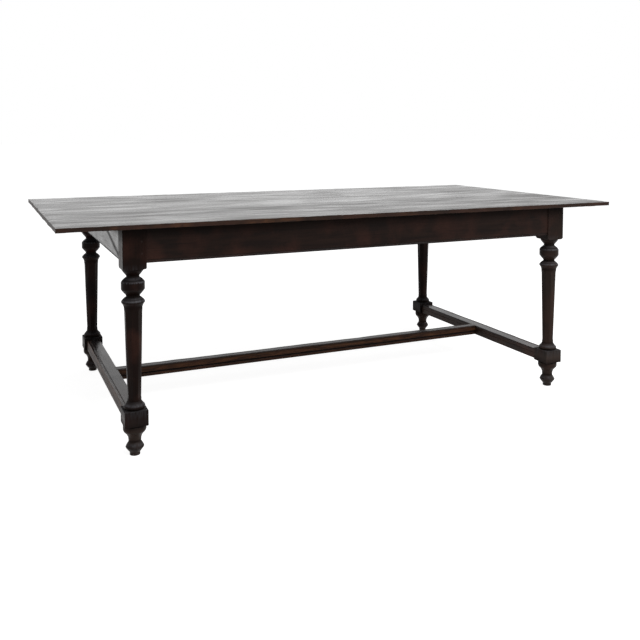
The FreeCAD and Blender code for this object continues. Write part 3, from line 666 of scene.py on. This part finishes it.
class FARMTABLE_OT_top(TablePiece, bpy.types.Operator):
    """Build the five top boards with their worn edges"""

    bl_idname = "farmtable.top"
    bl_label = "Top boards"

    def execute(self, context):
        fronts = [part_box(node)[0].y for node in BOARDS]
        backs = fronts[1:] + [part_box(BOARDS[-1])[1].y]
        colours = self.colours
        wood = scoured_top_oak("Scoured stained oak planks", colours, fronts[1:])
        edge_wood = stained_oak("Ebonised oak, knocked board edges", "X", colours, colours.stain,
                                colours.rubbed, rubbing=0.75, shine=0.12)
        chips = soft_clouds("Small chips", 11 * MM)
        knocks = soft_clouds("Long knocks", 70 * MM)
        for node, front, back, tone in zip(BOARDS, fronts, backs, BOARD_TONES):
            board = self.plank(node, front, back)
            dent(board, knocks, self.sizes.chip_depth, self.at_edge)
            dent(board, chips, self.sizes.chip_depth * 0.4, self.at_edge, 0.8)
            self.wear_down(board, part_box(node)[0].z)
            # The boards' own tones, plus the patches of painted sheen
            paint(board, "tone", lambda place: tone + self.sheen_patch(place))
            paint(board, "board", lambda place: int(node[-1]))
            paint(board, "rubbed", self.bared)
            finish_piece(board, wood, "stained_oak_top", node)
            # Only the upper face is scoured
            board.data.materials.append(edge_wood)
            for face in board.data.polygons:
                if face.normal.z < 0.7:
                    face.material_index = 1
        return {"FINISHED"}

    def plank(self, node, front, back):
        """A plank between two seams, rounded where it meets the air."""
        low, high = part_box(node)
        deselect()
        bpy.ops.mesh.primitive_grid_add(x_subdivisions=190, y_subdivisions=8, size=1,
                                        location=(0, (front + back) / 2, low.z))
        board = bpy.context.object
        board.name = "plank_" + node[-1]
        board.scale = (high.x - low.x, back - front, 1)
        edit(set_in_place(board))
        bpy.ops.mesh.extrude_region_move(TRANSFORM_OT_translate={"value": (0, 0, high.z - low.z)})
        face_outwards()
        outer_y = CAD_BOX[1][1] - SAME
        for level in (high.z, low.z):
            for side in (front, back):
                outside = abs(side) > outer_y
                radius = self.sizes.edge_round if outside else self.sizes.seam_round
                self.round_edge(board, level, 1, side, radius, 3)
            for end in (low.x, high.x):
                self.round_edge(board, level, 0, end, self.sizes.edge_round * 0.7, 2)
        deselect()
        return board

    def round_edge(self, board, level, axis, side, radius, segments):
        """Round the edge that lies at a level and at one side along an axis."""
        pick_edges(board, lambda place: abs(place.z - level) < SAME
                   and abs(place[axis] - side) < SAME)
        bpy.ops.mesh.bevel(offset=radius, segments=segments, affect="EDGES")

    def wear_down(self, board, bottom):
        """Wear the upper face down towards the middle of the top, and slant the left end."""
        for point in board.data.vertices:
            along = max(0.0, 1 - (point.co.x / WORN_HALF[0]) ** 2)
            across = max(0.0, 1 - (point.co.y / WORN_HALF[1]) ** 2)
            if point.co.z > bottom + 10 * MM:
                point.co.z -= self.sizes.top_wear * across * along
            point.co.x += self.end_slant(point.co)

    def end_slant(self, place):
        """How far the left end falls short: most at the front, and nothing at the back."""
        overhang = (place.x - SLANT_START) / (SLANT_FULL - SLANT_START)
        half = CAD_BOX[1][1]
        return END_SLANT * max(0.0, min(1.0, overhang)) * (half - place.y) / (half * 2)

    def sheen_patch(self, place):
        """How much painted sheen the top has here: paler and smoother, and darker and rougher below
        nought.
        """
        return sum(amount * math.exp(-((place.x - x) / wide) ** 2 - ((place.y - y) / deep) ** 2)
                   for amount, (x, y), (wide, deep) in SHEEN_PATCHES)

    def at_end(self, place):
        """True at the two sawn ends of the top."""
        return abs(place.x) > CAD_BOX[1][0] - KNOCKED

    def at_edge(self, place):
        """True all round the edge of the top."""
        return self.at_end(place) or abs(place.y) > CAD_BOX[1][1] - KNOCKED

    def bared(self, place):
        """How much raw wood shows: most in a few places along the edges, and none on the faces."""
        if self.at_end(place):
            return 0.1
        if not self.at_edge(place):
            return 0.0
        return max(0.12, max(share * math.exp(-((place.x / MM - middle) / half) ** 4)
                             for middle, half, share in RAW_PLACES))


class FARMTABLE_OT_legs(TablePiece, bpy.types.Operator):
    """Turn one leg, square its blocks, cut its eight flats, and copy it to the four corners"""

    bl_idname = "farmtable.legs"
    bl_label = "Turned legs"

    def execute(self, context):
        colours = self.colours
        wood = stained_oak("Ebonised oak, turned", "Z", colours, colours.leg_stain, colours.sheen_and_wear,
                           rubbing=0.9, up_sheen=0.32, shine=0.045, sides=0.36)
        low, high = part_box(LEGS[0])
        model = turned("leg_model", LEG_OUTLINE, self.sizes.turning_steps)
        cut_to(model, self.post_tool(high.x - low.x))
        cut_to(model, self.flats_tool())
        # Painted highlights on the arrises, with some wear
        paint(model, "rubbed", levels(WORN_AND_HIGHLIT_LEVELS))
        # Painted shade in the hollows and on the post under the top, with some dirt
        paint(model, "shade_and_grime", levels(SHADE_AND_GRIME_LEVELS))
        for node in LEGS:
            low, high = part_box(node)
            middle = (low + high) / 2
            leg = copy_to(model, "turned_" + node, Matrix.Translation((middle.x, middle.y, 0)))
            # Faded stain low on every leg, and painted light on the leg at the front right
            paint(leg, "faded", levels(FADED_AND_LIT if node == "leg_front_right" else FADED_LEVELS))
            finish_piece(leg, wood, "stained_oak_legs", node, crease=28)
        bpy.data.objects.remove(model)
        return {"FINISHED"}

    def post_tool(self, side):
        """The square that the posts are planed to, with worn corners."""
        tool = box_tool((0, 0, 0.4), (side, side, 1))
        edit(tool)
        for level in POST_CUTS:
            bpy.ops.mesh.select_all(action="SELECT")
            bpy.ops.mesh.bisect(plane_co=(0, 0, level * MM), plane_no=(0, 0, 1))
        apply_modifier(tool, "BEVEL", width=self.sizes.arris_round, segments=3, limit_method="ANGLE")
        return tool

    def flats_tool(self):
        """An eight-sided sleeve that is as narrow as the shaft's flats and wide above and below them."""
        deselect()
        corner = 1 / math.cos(math.pi / FLATS)
        start, across = SHAFT_FLATS[0]
        bpy.ops.mesh.primitive_circle_add(vertices=FLATS, radius=across * corner * MM,
                                          fill_type="NGON", location=(0, 0, start * MM),
                                          rotation=(0, 0, math.pi / FLATS))
        tool = bpy.context.object
        edit(tool)
        for (low, before), (high, after) in zip(SHAFT_FLATS, SHAFT_FLATS[1:]):
            rise = (0, 0, (high - low) * MM)
            bpy.ops.mesh.extrude_region_move(TRANSFORM_OT_translate={"value": rise})
            share = after / before
            bpy.ops.transform.resize(value=(share, share, 1))
        face_outwards()
        return set_in_place(tool)


class FARMTABLE_OT_aprons(TablePiece, bpy.types.Operator):
    """Build the four apron rails with their bead"""

    bl_idname = "farmtable.aprons"
    bl_label = "Apron rails"

    def execute(self, context):
        colours = self.colours
        long_wood = stained_oak("Ebonised oak, long rails", "X", colours, colours.stain,
                                colours.sheen_and_wear, rubbing=0.6, shine=0.08)
        end_wood = stained_oak("Ebonised oak, end rails", "Y", colours, colours.stain,
                               colours.sheen_and_wear, rubbing=0.6, shine=0.13, sides=0.27, mottling=0.3)
        leg_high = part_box("leg_front_left")[1]
        rows = line_through(APRON_OUTLINE, 0.9)
        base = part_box("apron_front")[0].z
        for node, along, side in (("apron_front", "X", -1), ("apron_back", "X", 1),
                                  ("apron_left", "Y", -1), ("apron_right", "Y", 1)):
            low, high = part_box(node)
            across = "YX".index(along)
            face = low[across] if side < 0 else high[across]
            section = [(face - side * depth * MM, base + up * MM) for depth, up in rows]
            start = leg_high["XY".index(along)] - INTO_LEG
            piece = rail("beaded_" + node, along, start, section)
            streaked = node == "apron_left"
            if streaked:
                self.cut_streak(piece)
            self.paint_shade(piece, high.z, streaked)
            wood = long_wood if along == "X" else end_wood
            finish_piece(piece, wood, "stained_oak_aprons", node)
        return {"FINISHED"}

    def cut_streak(self, piece):
        """Cut the rail along the streak and beside it, to let its colour fade out."""
        edit(piece)
        for offset in (-STREAK_WIDTH, 0, STREAK_WIDTH):
            bpy.ops.mesh.select_all(action="SELECT")
            bpy.ops.mesh.bisect(plane_co=(0, 0, (STREAK_LEVEL + offset) * MM),
                                plane_no=(0, -STREAK_RISE, 1))
        deselect()

    def paint_shade(self, piece, top, streaked):
        """Painted shade darkens the rails just under the top, and the bead gets a little painted grey
        sheen.
        """
        def grime_and_shade(place):
            # Painted shade under the overhanging top
            shaded = 0.85 * max(0.0, 1 - (top - place.z) / SHADE_DEPTH)
            away = abs(place.z / MM - STREAK_LEVEL - STREAK_RISE * place.y / MM)
            streak = 0.9 * max(0.0, 1 - away / STREAK_WIDTH) if streaked else 0.0
            return max(shaded, streak)

        paint(piece, "shade_and_grime", grime_and_shade)
        # A little painted grey sheen on the bead
        paint(piece, "rubbed", lambda place: 0.3 if place.z < top - BEAD_DROP else 0.0)


class FARMTABLE_OT_stretchers(TablePiece, bpy.types.Operator):
    """Build the three stretchers, worn by feet"""

    bl_idname = "farmtable.stretchers"
    bl_label = "Stretchers"

    def execute(self, context):
        colours = self.colours
        # Both stretchers get a painted grey sheen on their upper faces
        long_wood = stained_oak("Ebonised oak, foot rail", "X", colours, colours.stain,
                                colours.rubbed, up_sheen=0.4, shine=0.12, sides=0.6, tops=0.27)
        end_wood = stained_oak("Ebonised oak, end stretchers", "Y", colours, colours.stain,
                               colours.rubbed, up_sheen=0.42, shine=0.16, sides=0.55, tops=0.22)
        hollows = soft_clouds("Foot wear", 90 * MM)
        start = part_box("leg_front_left")[1].y - INTO_LEG
        rows = line_through(END_STRETCHER, 1.4)[:-1]
        for node, side in (("stretcher_left", -1), ("stretcher_right", 1)):
            low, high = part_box(node)
            middle = (low.x + high.x) / 2
            foot = high.z - END_STRETCHER_HEIGHT * MM
            section = [(middle + side * across * MM, foot + up * MM) for across, up in rows]
            piece = rail("worn_" + node, "Y", start, section, steps=44)
            self.wear(piece, hollows, high.z)
            paint(piece, "rubbed",
                  lambda place: self.end_rubbed(side * (place.x - middle), place.z - high.z))
            finish_piece(piece, end_wood, "stained_oak_stretchers", node)
        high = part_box("stretcher_long")[1]
        start = -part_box("stretcher_left")[1].x + INTO_STRETCHER
        half = line_through(LONG_STRETCHER_HALF, 1.4)
        whole = half + [(-across, up) for across, up in reversed(half[1:-1])]
        section = [(across * MM, high.z + (up - LONG_STRETCHER_HEIGHT) * MM) for across, up in whole]
        piece = rail("worn_stretcher_long", "X", start, section, steps=84)
        self.wear(piece, hollows, high.z)
        paint(piece, "rubbed", lambda place: self.long_rubbed(place.z - high.z))
        # Painted shade, with some dirt, in the long stretcher's grooves
        paint(piece, "shade_and_grime", lambda place: self.in_groove(abs(place.y), place.z - high.z))
        finish_piece(piece, long_wood, "stained_oak_stretchers", "stretcher_long")
        return {"FINISHED"}

    def wear(self, piece, hollows, top):
        """Wear the upper edges down unevenly."""
        dent(piece, hollows, self.sizes.rail_wear, lambda place: place.z > top - 5 * MM)

    def long_rubbed(self, drop):
        """Feet have rubbed the long stretcher's sides most, 14 mm below its top, and a little at the
        bottom."""
        if drop > -4 * MM:
            return 0.15
        at_bottom = 0.4 if drop < -33 * MM else 0.12
        return 0.9 * math.exp(-((drop / MM + 14) / 6) ** 2) + at_bottom

    def end_rubbed(self, outwards, drop):
        """Feet have rubbed the outer strip of the end stretchers' tops."""
        return 0.5 if drop > -4 * MM and outwards > 16 * MM else 0.12

    def in_groove(self, across, drop):
        """1 in the long stretcher's grooves, along its sides and along its upper face."""
        in_side = across < 19 * MM and -28 * MM < drop < -22 * MM
        in_top = 13 * MM < across < 16.2 * MM and drop > -3.4 * MM
        return 1.0 if in_side or in_top else 0.0


class FARMTABLE_OT_bearers(TablePiece, bpy.types.Operator):
    """Ease the edges of the cross bearers and the buttons that hold the top"""

    bl_idname = "farmtable.bearers"
    bl_label = "Bearers and buttons"

    def execute(self, context):
        for name, along, nodes in (
                ("Bare oak, crosswise", "Y",
                 ("bearer_left", "bearer_right", "buttons_front", "buttons_back")),
                ("Bare oak, lengthwise", "X", ("buttons_left", "buttons_right"))):
            wood = bare_oak(name, along, self.colours)
            for node in nodes:
                finish_piece(self.eased(node), wood, "plain_oak", node)
        return {"FINISHED"}

    def eased(self, node):
        """The node's own shape with its edges taken off."""
        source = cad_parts[node]
        piece = source.copy()
        piece.data = source.data.copy()
        piece.name = "eased_" + node
        for key in list(piece.keys()):
            del piece[key]
        bpy.context.collection.objects.link(piece)
        piece.parent = None
        edit(piece)
        bpy.ops.mesh.remove_doubles(threshold=MERGED)
        bpy.ops.mesh.dissolve_limited(angle_limit=math.radians(1))
        apply_modifier(piece, "BEVEL", width=self.sizes.arris_round * 0.6, segments=2,
                       limit_method="ANGLE")
        return piece


class FARMTABLE_OT_pegs(TablePiece, bpy.types.Operator):
    """Whittle one wooden peg with a rounded head, and copy it to every joint"""

    bl_idname = "farmtable.pegs"
    bl_label = "Pegs"

    def execute(self, context):
        colours = self.colours
        wood = stained_oak("Ebonised oak, peg ends", "Z", colours, colours.leg_stain,
                           colours.sheen_and_wear, rubbing=0.5)
        inner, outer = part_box("leg_back_right")
        radius = self.sizes.peg_radius
        low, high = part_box("apron_pegs")
        apron_heights = [low.z + radius, high.z - radius]
        low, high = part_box("stretcher_pegs")
        stretcher_height = (low.z + high.z) / 2
        low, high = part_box("cross_pegs")
        down = Matrix.Rotation(math.pi, 4, "X")
        places = {"apron_pegs": [], "stretcher_pegs": [], "cross_pegs": []}
        for side_x in SIDES:
            out_x = Matrix.Rotation(side_x * math.pi / 2, 4, "Y")
            edge_x = side_x * (outer.x + PEG_PROUD)
            near_x = side_x * (inner.x + PEG_INSET)
            for side_y in SIDES:
                out_y = Matrix.Rotation(-side_y * math.pi / 2, 4, "X")
                edge_y = side_y * (outer.y + PEG_PROUD)
                near_y = side_y * (inner.y + PEG_INSET)
                for height in apron_heights:
                    places["apron_pegs"] += [Matrix.Translation((near_x, edge_y, height)) @ out_y,
                                             Matrix.Translation((edge_x, near_y, height)) @ out_x]
                places["stretcher_pegs"].append(
                    Matrix.Translation((edge_x, near_y, stretcher_height)) @ out_x)
            places["cross_pegs"].append(
                Matrix.Translation((side_x * (high.x - radius), 0, low.z)) @ down)
        model = self.peg_model()
        for node, matrices in places.items():
            piece = joined_copies(model, matrices, "whittled_" + node)
            finish_piece(piece, wood, "peg_oak", node, crease=40)
        bpy.data.objects.remove(model)
        return {"FINISHED"}

    def peg_model(self):
        """A peg that stands below the origin, with its rounded head at the top."""
        radius = self.sizes.peg_radius / MM * 0.97
        rows = ((0, -30, 0), (radius * 0.8, -30, 0), (radius, -26, 0), (radius, -0.9, 0.25),
                (radius * 0.75, -0.15, 0.1), (0, 0, 0))
        peg = turned("peg_model", rows, PEG_SIDES * 2)
        for point in peg.data.vertices:
            narrowed = 1 - 0.03 * math.cos(PEG_SIDES * math.atan2(point.co.y, point.co.x))
            point.co.x *= narrowed
            point.co.y *= narrowed
        return peg


class FARMTABLE_OT_screws(TablePiece, bpy.types.Operator):
    """Turn one slotted screw head, and copy it under every button and bearer"""

    bl_idname = "farmtable.screws"
    bl_label = "Screws"

    def execute(self, context):
        iron = old_iron("Blackened iron", self.colours)
        places = []
        for node, count, axis in (("buttons_left", 5, 0), ("buttons_right", 5, 0),
                                  ("buttons_front", 3, 1), ("buttons_back", 3, 1)):
            low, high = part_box(node)
            inner = high[axis] if high[axis] < 0 else low[axis]
            other = 1 - axis
            first, last = low[other] + SCREW_MARGIN, high[other] - SCREW_MARGIN
            for number in range(count):
                place = [0, 0, low.z]
                place[axis] = inner + math.copysign(SCREW_INSET, inner)
                place[other] = first + (last - first) * number / (count - 1)
                places.append((place, 37 * number + 20 * axis))
        for node in ("bearer_left", "bearer_right"):
            low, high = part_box(node)
            for number in range(SCREWS_IN_BEARER):
                share = (number - (SCREWS_IN_BEARER - 1) / 2) / SCREWS_IN_BEARER
                place = ((low.x + high.x) / 2, (high.y - low.y) * share, low.z)
                places.append((place, 53 * number))
        matrices = [Matrix.Translation(place) @ Matrix.Rotation(math.radians(turn), 4, "Z")
                    for place, turn in places]
        model = self.screw_model()
        piece = joined_copies(model, matrices, "slotted_screws")
        finish_piece(piece, iron, "plain_oak", crease=30)
        bpy.data.objects.remove(model)
        return {"FINISHED"}

    def screw_model(self):
        """A domed head that points down, with a slot across it and a short shank above it."""
        radius = self.sizes.screw_radius / MM
        rows = ((0, -2, 0.7), (radius, 0, 0), (radius, 0.6, 0), (2, 0.6, 0), (2, 8, 0), (0, 8, 0))
        screw = turned("screw_model", rows, 20)
        cut_to(screw, box_tool((0, 0, -1.9 * MM), (20 * MM, 1.1 * MM, 2 * MM)), "DIFFERENCE")
        return screw


class FARMTABLE_OT_stage(TablePiece, bpy.types.Operator):
    """Set the floor, the background, the lamps and the camera"""

    bl_idname = "farmtable.stage"
    bl_label = "Stage"

    def execute(self, context):
        stage = context.scene.farmtable_stage
        self.add_floor()
        self.add_world(stage.room_light)
        window = self.add_lamp("Window", stage.window_power, size=(3, 2.6), place=(3.8, -2.2, 1.9),
                               target=(0, 0, 0.5))
        window.visible_glossy = False
        self.add_lamp("Softbox", stage.softbox_power, size=(4, 3), place=(0.9, -2.4, 4),
                      target=(0, 0, 0.4))
        deselect()
        bpy.ops.object.camera_add(location=stage.camera_place,
                                  rotation=(math.pi / 2 - stage.camera_tilt, 0, -stage.camera_turn))
        camera = bpy.context.object
        camera.name = "Camera"
        camera.data.lens = stage.camera_lens
        camera.data.sensor_width = 36
        camera.data.shift_y = stage.camera_shift
        context.scene.camera = camera
        context.scene.view_settings.view_transform = "Standard"
        return {"FINISHED"}

    def seen(self, tree):
        """1 for rays from the camera, in reflections or through glass, and 0 for the rest."""
        path = add_node(tree, "LightPath").outputs
        seen = add_node(tree, "Math", (path["Is Camera Ray"], path["Is Glossy Ray"]),
                        operation="MAXIMUM")
        return add_node(tree, "Math", (seen, path["Is Transmission Ray"]), operation="MAXIMUM")

    def add_floor(self):
        """A pale floor that looks white and keeps the table's shadow."""
        deselect()
        bpy.ops.mesh.primitive_plane_add(size=120, location=(0, 0, 0))
        floor = bpy.context.object
        floor.name = "Floor"
        paper, tree = new_material("Pale studio paper")
        tree.nodes.clear()
        matt = add_node(tree, "BsdfDiffuse", {"Color": self.colours.floor})
        glow = add_node(tree, "Math", (self.seen(tree), 0.9), operation="MULTIPLY")
        white = add_node(tree, "Emission", {"Color": (1, 1, 1), "Strength": glow})
        add_node(tree, "OutputMaterial", {"Surface": add_node(tree, "AddShader", (matt, white))})
        floor.data.materials.append(paper)

    def add_world(self, room_light):
        """A background that is plain white where it is seen, and gives a softer light."""
        world = bpy.data.worlds.new("Studio")
        world.use_nodes = True
        tree = world.node_tree
        tree.nodes.clear()
        # A mix of numbers, in inputs 2 and 3
        strength = add_node(tree, "Mix", {0: self.seen(tree), 2: room_light, 3: 1.0},
                            data_type="FLOAT")
        sky = add_node(tree, "Background", {"Color": (1, 1, 1), "Strength": strength})
        add_node(tree, "OutputWorld", {"Surface": sky})
        bpy.context.scene.world = world

    def add_lamp(self, name, power, size, place, target):
        """A soft rectangular lamp that faces a target."""
        deselect()
        turn = (Vector(target) - Vector(place)).to_track_quat("-Z", "Y").to_euler()
        bpy.ops.object.light_add(type="AREA", location=place, rotation=turn)
        lamp = bpy.context.object
        lamp.name = name
        lamp.data.shape = "RECTANGLE"
        lamp.data.size, lamp.data.size_y = size
        lamp.data.energy = power
        lamp.visible_camera = False
        return lamp


OPERATORS = (FARMTABLE_OT_top, FARMTABLE_OT_legs, FARMTABLE_OT_aprons, FARMTABLE_OT_stretchers,
             FARMTABLE_OT_bearers, FARMTABLE_OT_pegs, FARMTABLE_OT_screws, FARMTABLE_OT_stage)


class FARMTABLE_PT_panel(bpy.types.Panel):
    """Lists the table's pieces"""

    bl_idname = "FARMTABLE_PT_panel"
    bl_label = "Farmhouse Table"
    bl_space_type = "VIEW_3D"
    bl_region_type = "UI"
    bl_category = "Farmhouse Table"

    def draw(self, context):
        for operator in OPERATORS:
            self.layout.operator(operator.bl_idname)
        for name in GROUPS:
            group = getattr(context.scene, name)
            box = self.layout.box()
            for setting in group.bl_rna.properties.keys():
                if setting not in ("rna_type", "name"):
                    box.prop(group, setting)


GROUPS = {"farmtable_sizes": FARMTABLE_PG_sizes, "farmtable_colours": FARMTABLE_PG_colours,
          "farmtable_stage": FARMTABLE_PG_stage}


def register():
    for name, group in GROUPS.items():
        bpy.utils.register_class(group)
        setattr(bpy.types.Scene, name, PointerProperty(type=group))
    for kind in OPERATORS + (FARMTABLE_PT_panel,):
        bpy.utils.register_class(kind)


def unregister():
    for kind in reversed(OPERATORS + (FARMTABLE_PT_panel,)):
        bpy.utils.unregister_class(kind)
    for name, group in GROUPS.items():
        delattr(bpy.types.Scene, name)
        bpy.utils.unregister_class(group)


def main():
    """Build the table and its stage."""
    register()
    bpy.ops.farmtable.top()
    bpy.ops.farmtable.legs()
    bpy.ops.farmtable.aprons()
    bpy.ops.farmtable.stretchers()
    bpy.ops.farmtable.bearers()
    bpy.ops.farmtable.pegs()
    bpy.ops.farmtable.screws()
    bpy.ops.farmtable.stage()


if __name__ == "__main__":
    main()
